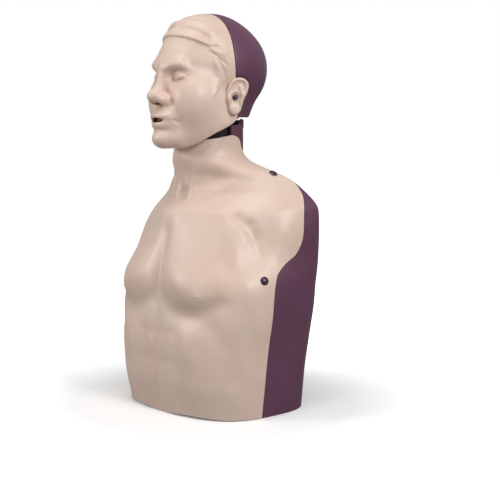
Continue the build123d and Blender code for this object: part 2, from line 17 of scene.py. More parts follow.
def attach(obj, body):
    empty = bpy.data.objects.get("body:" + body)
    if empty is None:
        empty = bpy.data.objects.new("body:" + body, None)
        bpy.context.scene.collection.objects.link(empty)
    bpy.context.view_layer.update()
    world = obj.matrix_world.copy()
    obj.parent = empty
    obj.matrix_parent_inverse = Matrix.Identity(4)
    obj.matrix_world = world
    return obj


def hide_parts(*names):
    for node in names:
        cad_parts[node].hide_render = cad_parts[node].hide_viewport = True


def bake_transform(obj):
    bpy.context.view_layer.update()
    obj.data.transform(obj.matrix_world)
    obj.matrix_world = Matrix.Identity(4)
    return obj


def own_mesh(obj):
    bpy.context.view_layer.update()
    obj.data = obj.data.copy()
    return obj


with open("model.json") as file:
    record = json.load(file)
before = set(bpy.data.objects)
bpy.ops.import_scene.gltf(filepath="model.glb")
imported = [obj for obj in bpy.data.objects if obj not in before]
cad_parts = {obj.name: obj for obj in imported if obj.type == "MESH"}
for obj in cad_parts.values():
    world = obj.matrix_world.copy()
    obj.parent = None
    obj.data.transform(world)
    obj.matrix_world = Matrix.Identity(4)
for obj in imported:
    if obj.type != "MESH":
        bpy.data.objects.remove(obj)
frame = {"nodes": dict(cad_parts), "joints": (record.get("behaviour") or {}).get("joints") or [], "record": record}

log = logging.getLogger("manikin")
Knots = list[tuple[float, float]]
Point = tuple[float, float, float]
Form = Callable[[np.ndarray, np.ndarray, np.ndarray], np.ndarray]

HINGE_Y = 41.0                                     # Y of the nape hinge, mm
PRESS_Z = 215.0                                    # axis of the compression unit, mm
SPRING_SEAT = 100.0                                # Y of the spring's fixed end, mm
HALF_GAP = 0.45                                    # half the seam's gap round the body, mm
PICTURE = 500                                      # width that the camera was measured in, pixels
SENSOR = 36.0                                      # width of the camera's sensor, mm
JOINTS = {j["name"]: j for j in frame["joints"]}
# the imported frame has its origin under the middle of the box
SHIFT = JOINTS["head_tilt"]["pos_m"][1] * 1000 - HINGE_Y
AROUND = 2 * np.pi


class Body(Enum):
    """The moving bodies of the manikin."""

    TORSO = "torso"
    PLUNGER = "plunger"
    HEAD = "head"


# Curves and the forms that everything is drawn from
@dataclass
class Curve:
    """A smooth curve through knots that never overshoots them."""

    knots: Knots

    def __post_init__(self) -> None:
        """Works out the slope at each knot."""
        pairs = np.array(self.knots, float)
        self.at, self.value = pairs[:, 0], pairs[:, 1]
        self.gap = np.diff(self.at)
        rise = np.diff(self.value) / self.gap
        self.slope = np.zeros(len(self.at))
        self.slope[0], self.slope[-1] = rise[0], rise[-1]
        for i in range(1, len(self.at) - 1):
            if rise[i - 1] * rise[i] > 0:
                w1, w2 = 2 * self.gap[i] + self.gap[i - 1], self.gap[i] + 2 * self.gap[i - 1]
                self.slope[i] = (w1 + w2) / (w1 / rise[i - 1] + w2 / rise[i])

    def __call__(self, t: np.ndarray | float) -> np.ndarray:
        """Value of the curve at t."""
        t = np.clip(t, self.at[0], self.at[-1])
        i = np.clip(np.searchsorted(self.at, t) - 1, 0, len(self.gap) - 1)
        s = (t - self.at[i]) / self.gap[i]
        return (self.value[i] * (2 * s**3 - 3 * s**2 + 1) + self.value[i + 1] * (3 * s**2 - 2 * s**3)
                + self.gap[i] * (self.slope[i] * (s**3 - 2 * s**2 + s) + self.slope[i + 1] * (s**3 - s**2)))


def step_up(t: np.ndarray | float, a: float, b: float) -> np.ndarray:
    """Smooth step from 0 at a to 1 at b."""
    s = np.clip((np.asarray(t, float) - a) / (b - a), 0, 1)
    return s * s * (3 - 2 * s)


def melt(a: np.ndarray, b: np.ndarray, k: float) -> np.ndarray:
    """Union of two forms with a soft fillet of size k mm."""
    h = np.maximum(k - np.abs(a - b), 0) / k
    return np.minimum(a, b) - h * h * k / 4


def keep(a: np.ndarray, b: np.ndarray, k: float) -> np.ndarray:
    """What two forms share, with an edge rounded over k mm."""
    return -melt(-a, -b, k)


def egg(x: np.ndarray, y: np.ndarray, z: np.ndarray, c: Point, r: Point) -> np.ndarray:
    """Distance to an ellipsoid, below zero inside it."""
    px, py, pz = x - c[0], y - c[1], z - c[2]
    k0 = np.sqrt((px / r[0])**2 + (py / r[1])**2 + (pz / r[2])**2) + 1e-9
    k1 = np.sqrt((px / r[0]**2)**2 + (py / r[1]**2)**2 + (pz / r[2]**2)**2) + 1e-9
    return k0 * (k0 - 1) / k1


def bone(x: np.ndarray, y: np.ndarray, z: np.ndarray, a: Point, b: Point, ra: float, rb: float) -> np.ndarray:
    """Distance to a round bar from a to b that tapers from radius ra to rb."""
    p, q = np.array(a, float), np.array(b, float)
    d = q - p
    s = np.clip(((x - p[0]) * d[0] + (y - p[1]) * d[1] + (z - p[2]) * d[2]) / (d @ d), 0, 1)
    off = np.sqrt((x - p[0] - s * d[0])**2 + (y - p[1] - s * d[1])**2 + (z - p[2] - s * d[2])**2)
    return off - (ra + (rb - ra) * s)


def slope_of(form: Form, p: np.ndarray, e: float = 0.4) -> np.ndarray:
    """Gradient of a form at points p."""
    out = []
    for k in range(3):
        d = np.zeros(3)
        d[k] = e
        out.append((form(*(p + d).T) - form(*(p - d).T)) / (2 * e))
    return np.stack(out, -1)


@dataclass
class Fold:
    """A ridge or a groove that follows a line over the surface; it is the same on both sides of the body.

    Attributes:
        line: points near the surface, mm.
        reach: how wide it is to either side.
        height: how far it stands up; below zero for a groove.
        taper: share of the height left at the last point.
    """

    line: list[Point]
    reach: float
    height: float
    taper: float = 1.0

    def snap(self, form: Form) -> None:
        """Puts the line's points on the surface of the form."""
        p = np.array(self.line, float)
        for _ in range(12):
            g = slope_of(form, p)
            p = p - (form(*p.T) / np.maximum((g * g).sum(-1), 0.05))[:, None] * g
        self.line = [tuple(q) for q in p]

    def __call__(self, ax: np.ndarray, y: np.ndarray, z: np.ndarray) -> np.ndarray:
        """How far the surface is raised at each point."""
        best, share = np.full(np.shape(ax), 1e9), np.zeros(np.shape(ax))
        first = self.line[0]
        pts = self.line if len(self.line) > 1 else [first, tuple(np.array(first) + (0, 0, 0.01))]
        n = len(pts) - 1
        for i in range(n):
            p, q = np.array(pts[i]), np.array(pts[i + 1])
            d = q - p
            s = np.clip(((ax - p[0]) * d[0] + (y - p[1]) * d[1] + (z - p[2]) * d[2]) / (d @ d + 1e-9), 0, 1)
            dist = (ax - p[0] - s * d[0])**2 + (y - p[1] - s * d[1])**2 + (z - p[2] - s * d[2])**2
            nearer = dist < best
            best, share = np.where(nearer, dist, best), np.where(nearer, (i + s) / n, share)
        return self.height * (1 + (self.taper - 1) * share) * np.exp(-best / self.reach**2)


@dataclass
class TorsoForm:
    """The trunk with its neck: sections that change with height, with soft muscles on them.

    Attributes:
        half_width, front, back: half width of a section, and its reach to the front and the back.
        middle: Y of the section's widest place.
        round_front, round_back: how square its two halves are; 2 is an ellipse.
        swell: soft muscles and hollows as centre, size and height.
        folds: ridges and grooves.
    """

    half_width: Curve = field(default_factory=lambda: Curve([
        (-30, 146.0), (0, 149.0), (60, 155.6), (120, 160.8), (180, 168.6), (225, 170.9), (262, 168.0),
        (300, 168.9), (335, 166.7), (356, 153.2), (371, 139.0), (383, 125.9), (393, 111.5), (403, 90.0),
        (413, 72.0), (423, 59.5), (433, 56.0), (450, 54.5), (500, 54.0)]))
    front: Curve = field(default_factory=lambda: Curve([
        (-30, 104.0), (0, 106.5), (60, 116.0), (120, 118.3), (170, 116.4), (215, 113.0), (260, 103.1),
        (300, 93.8), (329, 87.4), (341, 76.0), (352, 64.0), (366, 54.5), (390, 53.8), (420, 60.0),
        (450, 60.0), (500, 60.0)]))
    back: Curve = field(default_factory=lambda: Curve([
        (-30, 122.0), (0, 124.8), (60, 126.6), (130, 136.7), (200, 142.2), (260, 136.4), (315, 129.7),
        (345, 122.8), (368, 105.4), (386, 88.2), (402, 76.0), (416, 62.0), (435, 57.5), (460, 56.0),
        (500, 56.0)]))
    middle: Curve = field(default_factory=lambda: Curve([
        (-30, 0.0), (200, 6.0), (260, 52.5), (300, 66.4), (340, 78.4), (380, 69.2), (415, 4.0),
        (430, -6.0), (500, -8.0)]))
    round_front: Curve = field(default_factory=lambda: Curve([
        (-30, 2.7), (0, 2.75), (60, 2.85), (120, 2.8), (230, 2.4), (300, 1.95), (345, 1.7), (380, 1.7),
        (405, 1.85), (430, 2.0), (500, 2.0)]))
    round_back: Curve = field(default_factory=lambda: Curve([
        (-30, 3.2), (250, 3.2), (340, 2.8), (390, 2.3), (430, 2.0), (500, 2.0)]))
    swell: list[tuple[Point, Point, float]] = field(default_factory=lambda: [
        ((68, -105, 232), (48, 60, 46), 11), ((0, -112, 245), (13, 60, 70), -5),
        ((150, -28, 300), (16, 40, 42), -13), ((165, -15, 325), (30, 45, 50), 5),
        ((0, -72, 358), (11, 30, 11), -9), ((52, -72, 366), (42, 30, 8), 6),
        ((62, -45, 388), (26, 30, 12), -8), ((70, -90, 345), (40, 30, 14), -3),
        ((80, -100, 165), (45, 50, 22), -5), ((75, -105, 105), (34, 50, 40), 3),
        ((0, -112, 90), (14, 50, 90), -3)])
    folds: list[Fold] = field(default_factory=lambda: [
        # collar bone, the hollow over it, the neck muscle and the windpipe
        Fold([(12, -62, 361), (30, -68, 366), (62, -62, 373), (92, -32, 385)], 5.5, 2.6, 0.6),
        Fold([(34, -60, 377), (66, -46, 385)], 8, -2.4),
        Fold([(13, -62, 362), (24, -56, 392), (38, -38, 425), (50, -18, 456)], 7, 2.6),
        Fold([(0, -62, 372), (0, -60, 420)], 7, 1.2),
        # the groove under the breast, and the breast itself
        Fold([(16, -118, 190), (48, -118, 174), (90, -110, 171), (130, -84, 190)], 15, -3.9),
        Fold([(30, -110, 240), (66, -112, 214), (98, -104, 208), (120, -84, 228)], 26, 2.6),
        # crease of the arm, hollow of the armpit, edge of the breast, hollow under the collar bone
        Fold([(128, -50, 340), (133, -34, 316), (137, -22, 296), (146, -18, 268)], 8, -5.5, 0.3),
        Fold([(131, -24, 312), (136, -20, 296)], 9, -9.0),
        Fold([(110, -64, 330), (119, -56, 296), (128, -54, 258)], 13, 2.4),
        Fold([(44, -88, 332), (80, -78, 330), (112, -58, 336)], 14, -1.6),
        # middle line, then the soft folds of the hem
        Fold([(0, -112, 300), (0, -118, 220), (0, -118, 20)], 8.5, -1.1),
        Fold([(26, -118, 120), (20, -116, 8)], 8, -0.9),
        Fold([(74, -112, 90), (66, -110, 6)], 10, -1.2),
        Fold([(46, -116, 60), (44, -112, 4)], 8, 0.8),
        # side of the belly, two lines across it, and the flank
        Fold([(52, -116, 150), (56, -116, 100), (50, -112, 30)], 11, -0.9),
        Fold([(10, -118, 134), (44, -116, 138)], 9, -1.0),
        Fold([(10, -118, 88), (44, -116, 90)], 9, -0.9),
        Fold([(112, -86, 150), (128, -72, 118), (132, -62, 70)], 16, -2.0),
        Fold([(140, -44, 215), (150, -30, 150)], 12, 1.6)])

    def __post_init__(self) -> None:
        """Lays the folds on the plain trunk."""
        for f in self.folds:
            f.snap(self.plain)

    def plain(self, x: np.ndarray, y: np.ndarray, z: np.ndarray) -> np.ndarray:
        """Below zero inside the trunk without its folds."""
        ax = np.abs(x)
        mid = self.middle(z)
        v = y - mid
        depth = np.where(v < 0, self.front(z) + mid, self.back(z) - mid)
        n = np.where(v < 0, self.round_front(z), self.round_back(z))
        r = np.hypot(x, v) + 1e-9
        f = r - 1 / ((ax / r / self.half_width(z)) ** n + (np.abs(v) / r / depth) ** n) ** (1 / n)
        for c, s, h in self.swell:
            f = f - h * np.exp(-(((ax - c[0]) / s[0])**2 + ((y - c[1]) / s[1])**2 + ((z - c[2]) / s[2])**2))
        return f

    def __call__(self, x: np.ndarray, y: np.ndarray, z: np.ndarray) -> np.ndarray:
        """Below zero inside the trunk."""
        f = self.plain(x, y, z)
        ax = np.abs(x)
        for fold in self.folds:
            f = f - fold(ax, y, z)
        return f


# Seams between skins and shells: Y against height
BODY_SEAM = Curve([(-40, -14), (0, -14), (80, -12), (147, -8), (206, -6), (232, 0), (250, 18), (266, 43),
                   (288, 56), (336, 63), (362, 74), (378, 75), (396, 66), (412, 54), (427, 42), (441, 31),
                   (480, 30), (520, 30)])
HEAD_SEAM = Curve([(430, 8), (470, 7), (486, 5), (510, 2), (546, -3.4), (568, -5.8), (594, -7), (617, -5.8),
                   (637, -6), (653, -7), (690, -8)])
# Lower edge of the face: height against Y
JAW_EDGE = Curve([(-150, 430), (-112, 431), (-90, 433), (-65, 438), (-45, 454), (-12, 473), (2, 482),
                  (9, 485.6)])
# Front edge of the hair: Y against height
HAIRLINE = Curve([(516, -48.5), (530, -47.5), (546, -46), (560, -42), (572, -44), (582, -40.5), (592, -46),
                  (598, -47), (603, -55), (608, -64), (614, -76), (619, -88), (626, -104), (700, -124)])


# The form of the head
@dataclass
class EarForm:
    """An outer ear: a shell with a rolled rim, an inner ridge and a bowl, flared out from the head."""

    at: Point = (75.5, -5.0, 520.0)
    flare: float = np.radians(27)
    outline: list[tuple[float, float]] = field(default_factory=lambda: [
        (-15, -14), (-10, -26), (0, -29), (7, -22), (10, -8), (17, 6), (19, 20), (10, 29), (-4, 28),
        (-14, 18), (-17, 2)])

    def __post_init__(self) -> None:
        """Makes the outline smooth."""
        pts = np.array(self.outline, float)
        n = len(pts)
        out = []
        for i in range(n):
            p0, p1, p2, p3 = pts[i - 1], pts[i], pts[(i + 1) % n], pts[(i + 2) % n]
            for t in np.linspace(0, 1, 6)[:-1]:
                out.append(0.5 * (2 * p1 + (p2 - p0) * t + (2 * p0 - 5 * p1 + 4 * p2 - p3) * t**2
                                  + (3 * p1 - p0 - 3 * p2 + p3) * t**3))
        self.rim = np.array(out)

    def edge(self, u: np.ndarray, v: np.ndarray) -> np.ndarray:
        """Distance to the ear's outline drawn flat, below zero inside it."""
        best, inside = np.full(u.shape, 1e9), np.zeros(u.shape, bool)
        for p, q in zip(self.rim, np.roll(self.rim, -1, 0)):
            d = q - p
            s = np.clip(((u - p[0]) * d[0] + (v - p[1]) * d[1]) / (d @ d), 0, 1)
            best = np.minimum(best, (u - p[0] - s * d[0])**2 + (v - p[1] - s * d[1])**2)
            crossing = (q[0] - p[0]) * (v - p[1]) / (q[1] - p[1] + 1e-12) + p[0]
            inside ^= ((p[1] > v) != (q[1] > v)) & (u < crossing)
        return np.where(inside, -1, 1) * np.sqrt(best)

    def local(self, ax: np.ndarray, y: np.ndarray,
              z: np.ndarray) -> tuple[np.ndarray, np.ndarray, np.ndarray]:
        """Coordinates along the ear, up it and out from it."""
        s, c = np.sin(self.flare), np.cos(self.flare)
        dx, dy = ax - self.at[0], y - self.at[1]
        return dx * s + dy * c, z - self.at[2], dx * c - dy * s

    def __call__(self, ax: np.ndarray, y: np.ndarray, z: np.ndarray) -> np.ndarray:
        """Below zero inside the ear."""
        u, v, w = self.local(ax, y, z)
        e = self.edge(u, v)
        # thin shell and its rolled rim
        d = keep(e + 0.6, np.abs(w - 1.6) - 1.5, 1.6)
        up = step_up(v, -20, -6)
        d = melt(d, np.hypot(e + 2.6, w - 3.6) - (1.1 + 1.3 * up), 2.5)
        # lobe
        d = melt(d, egg(u, v, w, (-5, -21, 2.6), (8.5, 9, 3.4)), 3)
        # inner ridge
        d = melt(d, bone(u, v, w, (6, -13, 3), (9, 2, 4.2), 1.6, 2.2), 3)
        d = melt(d, bone(u, v, w, (9, 2, 4.2), (5, 15, 3.4), 2.2, 1.6), 3)
        # start of the rim, the flap before the bowl, and the root
        d = melt(d, bone(u, v, w, (-14, 4, 3), (-1, 7, 2.6), 1.7, 1.0), 2)
        d = melt(d, egg(u, v, w, (-12.5, -4, 3), (4.5, 6.5, 4)), 3)
        d = melt(d, egg(u, v, w, (-2, 0, -5), (14, 21, 7)), 4)
        # bowl
        return keep(d, -egg(u, v, w, (-2.5, -2.5, 5.0), (7.0, 8.5, 5.0)), 2)


@dataclass
class HeadForm:
    """The head with closed eyes, parted lips and short hair swept back; it is the same on both sides."""

    ear: EarForm = field(default_factory=EarForm)
    folds: list[Fold] = field(default_factory=lambda: [
        # lid line, lid crease, brow
        Fold([(15, -92, 549.5), (20, -92, 546), (27, -92, 544), (34, -90, 545), (40, -84, 549)], 1.4, -1.3),
        Fold([(13, -92, 552), (19, -92, 557.5), (28, -92, 560), (36, -88, 558), (43, -80, 551)], 2.2, -1.5),
        Fold([(10, -98, 565), (22, -94, 571), (34, -88, 571.5), (46, -76, 563)], 4.6, 1.5, 0.5),
        # groove over the lip, corner of the mouth, dip under the lip, line of the cheek
        Fold([(0, -112, 507), (0, -112, 492)], 3.0, -1.2),
        Fold([(27, -96, 481), (31, -90, 478)], 3.2, -1.3),
        Fold([(0, -104, 465.5), (13, -100, 466.5)], 5.0, -1.0, 0.3),
        Fold([(21, -98, 512), (29, -92, 498), (34, -86, 482)], 5.0, -1.0, 0.4)])
    locks: list[Fold] = field(default_factory=lambda: [
        # roll over the forehead and the crease behind it
        Fold([(0, -88, 624), (18, -82, 621), (34, -70, 613), (46, -58, 606)], 5.5, 3.0, 0.7),
        Fold([(6, -80, 637), (22, -74, 633), (38, -60, 624), (50, -46, 614)], 4.0, -2.8, 0.5),
        # locks swept back over the top
        Fold([(4, -70, 648), (20, -64, 645), (36, -52, 637), (52, -34, 622)], 5.5, 2.2, 0.4),
        Fold([(10, -58, 654), (26, -46, 650), (42, -30, 640)], 4.0, -1.6, 0.3),
        # locks of the temple
        Fold([(46, -58, 607), (53, -48, 603), (58, -38, 603)], 4.0, 2.6, 0.5),
        Fold([(50, -52, 601), (57, -42, 598), (63, -30, 598)], 2.2, -2.2, 0.4),
        Fold([(55, -46, 596), (61, -36, 592), (68, -22, 588)], 4.0, 2.8, 0.4),
        Fold([(58, -43, 588), (64, -34, 582), (71, -22, 570)], 2.4, -2.4, 0.3),
        # sideburn
        Fold([(59, -43, 582), (66, -36, 566), (71, -34, 548), (69, -46, 522)], 4.2, 2.4, 0.5),
        Fold([(64, -35, 578), (70, -28, 562), (73, -24, 548)], 2.8, -2.4, 0.3),
        Fold([(68, -24, 588), (73, -18, 572), (75, -16, 556)], 5.0, 1.2, 0.3)])

    def __post_init__(self) -> None:
        """Lays the folds and the locks of hair on the plain head."""
        for f in self.folds + self.locks:
            f.snap(self.plain)

    def core(self, x: np.ndarray, y: np.ndarray, z: np.ndarray) -> np.ndarray:
        """The head without the fine parts of the face, which its inner walls follow."""
        x = np.abs(x)
        d = egg(x, y, z, (0, 19, 567), (76, 87, 80))                            # cranium
        d = melt(d, egg(x, y, z, (0, 3, 576), (70, 75, 81)), 14)                # crown
        d = melt(d, egg(x, y, z, (0, -22, 566), (58, 78, 71)), 14)              # forehead
        d = melt(d, egg(x, y, z, (0, -27, 615), (55, 49, 36)), 14)              # front of the hair
        d = melt(d, egg(x, y, z, (0, -37, 512), (55, 57, 72)), 20)              # face
        d = melt(d, egg(x, y, z, (0, -52, 470), (46, 47, 32)), 16)              # jaw
        d = melt(d, bone(x, y, z, (55, 0, 505), (51, -6, 476), 11, 12), 26)     # angle of the jaw
        d = melt(d, bone(x, y, z, (51, -6, 476), (20, -80, 450), 12, 13), 22)   # line of the jaw
        d = melt(d, egg(x, y, z, (36, -58, 522), (26, 30, 26)), 26)             # cheekbone
        d = melt(d, egg(x, y, z, (32, -34, 496), (30, 44, 42)), 24)             # cheek
        d = melt(d, bone(x, y, z, (0, -93, 568), (27, -86, 569), 9, 9), 14)     # brow
        d = melt(d, bone(x, y, z, (0, -8, 380), (0, -8, 478), 50, 50), 10)      # neck
        d = melt(d, egg(x, y, z, (0, 22, 500), (52, 50, 45)), 20)               # nape
        d = melt(d, egg(x, y, z, (0, -86, 482), (28, 28, 25)), 12)              # round of the mouth
        d = melt(d, egg(x, y, z, (0, -96, 451), (20, 20, 16)), 12)              # chin
        return -melt(-d, egg(x, y, z, (30, -101, 550), (17, 18, 10)), 12)       # eye socket

    def plain(self, x: np.ndarray, y: np.ndarray, z: np.ndarray) -> np.ndarray:
        """The head with its eyes, nose and lips."""
        d = self.core(x, y, z)
        x = np.abs(x)
        d = melt(d, egg(x, y, z, (31, -63, 505), (25, 28, 30)), 20)             # soft of the cheek
        d = melt(d, egg(x, y, z, (28, -76, 550.5), (14, 15, 10.5)), 4)          # closed eye
        d = melt(d, bone(x, y, z, (0, -93, 558), (0, -113, 522), 6, 8.5), 14)   # bridge of the nose
        d = melt(d, egg(x, y, z, (0, -115.6, 519), (11.5, 11.8, 9.5)), 9)       # tip of the nose
        d = melt(d, egg(x, y, z, (11.5, -104, 513.5), (7, 11, 7)), 9)           # wings of the nose
        d = melt(d, egg(x, y, z, (0, -103, 488), (21, 12.5, 4.8)), 7)           # upper lip
        return melt(d, egg(x, y, z, (0, -101, 473.5), (17, 13, 5.6)), 7)        # lower lip

    def hair(self, ax: np.ndarray, y: np.ndarray, z: np.ndarray) -> np.ndarray:
        """How far behind the edge of the hair a point is, mm, seen from the side; below zero on bare skin."""
        front = (y - HAIRLINE(z)) * 0.8
        back = ((z - 516) - (y + 48.5) * 0.98) * 0.71
        return np.where(z < 570, np.minimum(front, back), front)

    def outside(self, x: np.ndarray, y: np.ndarray, z: np.ndarray) -> np.ndarray:
        """The head's outer face without ears and openings."""
        d = self.plain(x, y, z)
        ax = np.abs(x)
        for fold in self.folds:
            d = d - fold(ax, y, z)
        cover = step_up(self.hair(ax, y, z), -1.2, 3.4) * step_up(z, 508, 516)
        rise = 0.9 * (1 - step_up(z, 636, 650))
        for lock in self.locks:
            rise = rise + lock(ax, y, z)
        seam = step_up(HEAD_SEAM(z) - y, 2, 16)             # the locks die out before the back shell
        return d - cover * (rise * seam)

    def skin(self, x: np.ndarray, y: np.ndarray, z: np.ndarray) -> np.ndarray:
        """The vinyl face skin: a wall with a mouth, nostrils and ears."""
        ax = np.abs(x)
        d = self.outside(x, y, z)
        wall = keep(d, -(self.core(x, y, z) + 4.0), 0.6)
        wall = keep(wall, y - HEAD_SEAM(z) + 0.4, 1.0)
        wall = keep(wall, (JAW_EDGE(y) - z) * 0.88, 1.4)
        wall = melt(wall, self.ear(ax, y, z), 3.5)
        mouth = egg(ax, y, z, (0, -112, 481.2), (14.5, 26, 3.7))
        wall = keep(wall, -mouth, 2.2)
        nostril = egg(ax, y, z, (6.6, -112.5, 509.5), (3.3, 4.8, 4.6))
        return keep(wall, -nostril, 1.6)

    def shell(self, x: np.ndarray, y: np.ndarray, z: np.ndarray) -> np.ndarray:
        """The moulded back of the head with the recess round the ears."""
        ax = np.abs(x)
        core = self.core(x, y, z)
        wall = keep(self.plain(x, y, z), -(core + 6.5), 0.6)
        wall = keep(wall, HEAD_SEAM(z) + 0.5 - y, 1.2)
        wall = keep(wall, 485.9 - z, 1.6)
        recess = keep(np.hypot(y - 4, z - 523) - 30, 73.0 - ax, 0.5)
        return keep(wall, -recess, 1.4)


# Meshes from forms
def to_row(p: np.ndarray) -> np.ndarray:
    """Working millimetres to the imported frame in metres."""
    return (np.asarray(p, float) + (0.0, SHIFT, 0.0)) / 1000.0


def surface(form: Form, low: Point, high: Point, pitch: float,
            settle: int = 3) -> tuple[np.ndarray, np.ndarray]:
    """Skins a form with quads, one point for each cell of a grid that the surface crosses.

    Args:
        form: below zero inside.
        low, high: corners of the grid, mm.
        pitch: size of a cell, mm.
        settle: how often the points are drawn on to the surface.

    Returns:
        Points in mm, and quads that point outwards.
    """
    block = 4
    cells = [int(np.ceil((b - a) / pitch / block)) for a, b in zip(low, high)]
    axes = [a + pitch * np.arange(n * block) for a, n in zip(low, cells)]
    middle = [a + pitch * (np.arange(n) * block + (block - 1) / 2) for a, n in zip(low, cells)]
    rough = form(*np.meshgrid(*middle, indexing="ij"))
    f = np.repeat(np.repeat(np.repeat(rough, block, 0), block, 1), block, 2)
    near = np.abs(f) < 1.25 * block * pitch
    at = np.argwhere(near)
    f[near] = form(*(np.array(low) + pitch * at).T)
    solid = f < 0
    n = np.array(f.shape) - 1
    count = np.zeros(n, np.int8)
    for i in (0, 1):
        for j in (0, 1):
            for k in (0, 1):
                count += solid[i:i + n[0], j:j + n[1], k:k + n[2]]
    active = (count > 0) & (count < 8)
    number = np.full(active.shape, -1, np.int64)
    cells = np.argwhere(active)
    number[active] = np.arange(len(cells))
    place, hits = np.zeros((len(cells), 3)), np.zeros(len(cells))
    base = cells.T
    for corner in np.ndindex(2, 2, 2):
        for axis in range(3):
            if corner[axis]:
                continue
            other = list(corner)
            other[axis] = 1
            fa = f[tuple(base[k] + corner[k] for k in range(3))]
            fb = f[tuple(base[k] + other[k] for k in range(3))]
            cut = (fa < 0) != (fb < 0)
            p = np.tile(np.array(corner, float), (int(cut.sum()), 1))
            p[:, axis] = fa[cut] / (fa[cut] - fb[cut])
            place[cut] += p
            hits[cut] += 1
    points = np.array(low) + pitch * (cells + place / hits[:, None])
    quads = []
    for axis in range(3):
        b, c = (axis + 1) % 3, (axis + 2) % 3
        first, second = [slice(None)] * 3, [slice(None)] * 3
        first[axis], second[axis] = slice(0, -1), slice(1, None)
        s0, s1 = solid[tuple(first)], solid[tuple(second)]
        at = np.argwhere(s0 != s1)
        at = at[(at[:, b] >= 1) & (at[:, c] >= 1) & (at[:, b] < n[b]) & (at[:, c] < n[c])]
        ring = []
        for db, dc in ((1, 1), (0, 1), (0, 0), (1, 0)):
            q = at.copy()
            q[:, b] -= db
            q[:, c] -= dc
            ring.append(number[tuple(q.T)])
        ring = np.stack(ring, 1)
        turned = ~s0[tuple(at.T)]
        ring[turned] = ring[turned][:, ::-1]
        quads.append(ring)
    for _ in range(settle):
        g = slope_of(form, points)
        move = (form(*points.T) / np.maximum((g * g).sum(-1), 0.2))[:, None] * g
        size = np.linalg.norm(move, axis=1, keepdims=True)
        points = points - move * np.minimum(1, 0.5 * pitch / np.maximum(size, 1e-9))
    return points, np.concatenate(quads)


def pick(*objs: bpy.types.Object) -> None:
    """Selects only these objects and makes the last one active."""
    bpy.ops.object.select_all(action="DESELECT")
    for obj in objs:
        obj.select_set(True)
    bpy.context.view_layer.objects.active = objs[-1]


def lay(size: Point, place: Point) -> bpy.types.Object:
    """Sizes and moves the newest mesh by its points, so that its origin stays, in metres."""
    bpy.ops.object.mode_set(mode="EDIT")
    bpy.ops.mesh.select_all(action="SELECT")
    bpy.ops.transform.resize(value=size)
    bpy.ops.transform.translate(value=place)
    bpy.ops.object.mode_set(mode="OBJECT")
    return bpy.context.object


def piece(name: str, points: np.ndarray, faces: np.ndarray, sharp: float = 50.0) -> bpy.types.Object:
    """Makes an object of points in mm and faces, smooth except at edges sharper than the angle in degrees."""
    mesh = bpy.data.meshes.new(name)
    mesh.from_pydata([tuple(p) for p in to_row(points)], [], [tuple(int(i) for i in f) for f in faces])
    mesh.update()
    obj = bpy.data.objects.new(name, mesh)
    bpy.context.scene.collection.objects.link(obj)
    pick(obj)
    bpy.ops.object.mode_set(mode="EDIT")
    bpy.ops.mesh.select_all(action="SELECT")
    bpy.ops.mesh.remove_doubles(threshold=0.00002)
    bpy.ops.mesh.normals_make_consistent(inside=False)
    bpy.ops.object.mode_set(mode="OBJECT")
    bpy.ops.object.shade_smooth_by_angle(angle=np.radians(sharp))
    return obj


def apply_modifier(obj: bpy.types.Object, kind: str, **settings: object) -> None:
    """Adds a modifier with its settings and applies it."""
    pick(obj)
    m = obj.modifiers.new(kind.title(), kind)
    for k, v in settings.items():
        setattr(m, k, v)
    bpy.ops.object.modifier_apply(modifier=m.name)


def cast(form: Form, angles: np.ndarray, z: np.ndarray, tilt: np.ndarray) -> np.ndarray:
    """Points where rays at the given angles from the back, at heights z, leave the form."""
    s, c = np.sin(angles), np.cos(angles)
    low, high = np.full(angles.shape, 1.0), np.full(angles.shape, 240.0)
    for _ in range(21):
        mid = (low + high) / 2
        y = mid * c
        inside = form(mid * s, y, z + tilt * y) < 0
        low, high = np.where(inside, mid, low), np.where(inside, high, mid)
    y = low * c
    return np.stack([low * s, y, z + tilt * y], -1)


def sheet_rows(form: Form, plain: Form, levels: np.ndarray, seam: Callable[[float], float],
               tilt: Callable[[float], float], columns: int, front: bool) -> np.ndarray:
    """A grid of points on the form, row by row, from the seam on one side round to the other.

    Args:
        form: the form that the rows lie on.
        plain: the same form without fine relief, along which the points are spread.
        levels: height of each row on the neck axis, mm.
        seam: Y of the edge at a height.
        tilt: rise of a row for each mm of Y.
        columns: points in a row.
        front: True for the front of the body, False for the back.

    Returns:
        Points as (row, column, 3).
    """
    z, t = levels[:, None], np.array([tilt(v) for v in levels])[:, None]
    a = np.linspace(0.02, np.pi - 0.02, 200)
    grid = np.tile(a, (len(levels), 1))
    y = cast(plain, grid, z + 0 * grid, t + 0 * grid)[..., 1]
    edges = []
    for row, v in zip(y, levels):
        at = seam(v)
        for _ in range(30):                        # a tilted row meets the seam where it is higher or lower
            at = 0.5 * (at + seam(v + tilt(v) * at))
        k = max(1, int(np.argmax(row < at)))
        edges.append(a[k - 1] + (a[k] - a[k - 1]) * (row[k - 1] - at) / (row[k - 1] - row[k]))
    edges = np.array(edges)[:, None]
    share = np.linspace(0, 1, 240)[None]
    ang = edges + (AROUND - 2 * edges) * share if front else -edges + 2 * edges * share
    q = cast(plain, ang, z + 0 * ang, t + 0 * ang)
    way = np.cumsum(np.linalg.norm(np.diff(q, axis=1), axis=2), axis=1)
    way = np.concatenate([np.zeros((len(levels), 1)), way], 1)
    even = np.array([np.interp(np.linspace(0, w[-1], columns), w, g) for w, g in zip(way, ang)])
    return cast(form, even, z + 0 * even, t + 0 * even)


